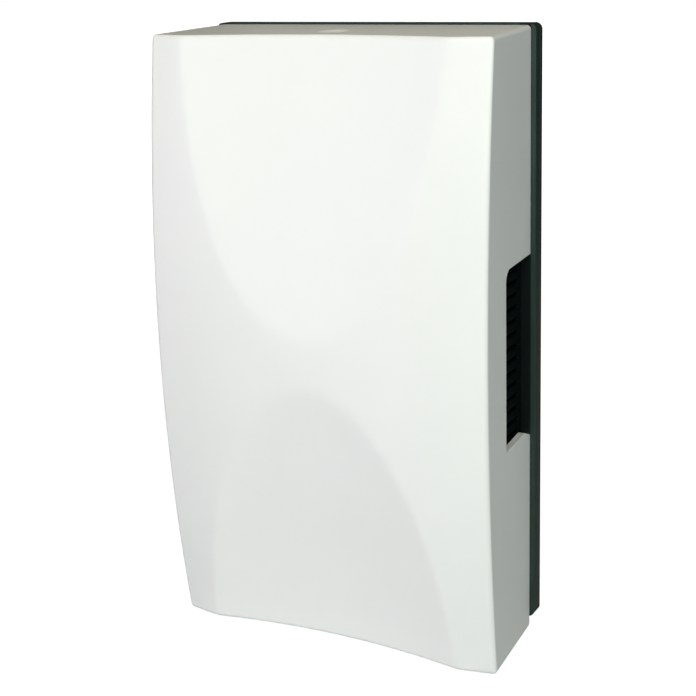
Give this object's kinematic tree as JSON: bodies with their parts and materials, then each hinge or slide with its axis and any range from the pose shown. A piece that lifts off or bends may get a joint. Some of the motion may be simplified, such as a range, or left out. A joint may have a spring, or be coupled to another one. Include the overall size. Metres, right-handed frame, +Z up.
{
  "type": "doorbell chime",
  "caption": "Wall-hung two-tone doorbell chime: white pull-off cover with scooped front and side windows, dark base, solenoid plunger and steel tone bars.",
  "frame": {"origin": "centre of the base's back face, on the wall", "axes": "+Z up, +Y into the wall, +X to the right seen from the front"},
  "size_m": [0.113, 0.0528, 0.192],
  "materials": {
    "base_black": "fine spark-eroded grain",
    "cover_white": "smooth moulded satin gloss",
    "grille_black": "matt",
    "bar_steel": "rolled steel with ground faces, lacquered",
    "grommet_rubber": "soft black rubber",
    "screw_zinc": "bright zinc plate",
    "yoke_zinc": "zinc-plated strip",
    "bobbin_nylon": "natural nylon",
    "winding_copper": "enamelled copper wire",
    "tape_yellow": "polyester tape",
    "tag_brass": "tinned brass",
    "core_iron": "ground soft iron",
    "striker_nylon": "natural nylon",
    "spring_steel": "drawn wire",
    "terminal_plastic": "moulded nylon",
    "clamp_brass": "turned brass",
    "lead_insulation": "PVC sleeve"
  },
  "bodies": {
    "base": {"base": "base_black", "sound_grille_left": "grille_black", "sound_grille_right": "grille_black", "tone_bar_left": "bar_steel", "tone_bar_right": "bar_steel", "grommets_left": "grommet_rubber", "grommets_right": "grommet_rubber", "tone_bar_screws_left": "screw_zinc", "tone_bar_screws_right": "screw_zinc", "coil_yoke": "yoke_zinc", "coil_screws": "screw_zinc", "coil_bobbin": "bobbin_nylon", "coil_winding": "winding_copper", "coil_tape": "tape_yellow", "coil_tags": "tag_brass", "plunger_spring": "spring_steel", "terminal_block": "terminal_plastic", "terminal_clamps": "clamp_brass", "terminal_screws": "screw_zinc", "terminal_block_screw": "screw_zinc", "coil_lead_left": "lead_insulation", "coil_lead_right": "lead_insulation"},
    "cover": {"cover": "cover_white"},
    "plunger": {"plunger_core": "core_iron", "striker_tip_left": "striker_nylon", "striker_tip_right": "striker_nylon"}
  },
  "joints": [
    {"name": "cover_pull", "type": "slide", "parent": "base", "child": "cover", "axis": [0, -1, 0], "range_m": [0, 0.075]},
    {"name": "plunger_slide", "type": "slide", "parent": "base", "child": "plunger", "axis": [1, 0, 0], "range_m": [-0.0025, 0.008], "stiffness_N_per_m": 40, "deforming": ["plunger_spring"]}
  ]
}
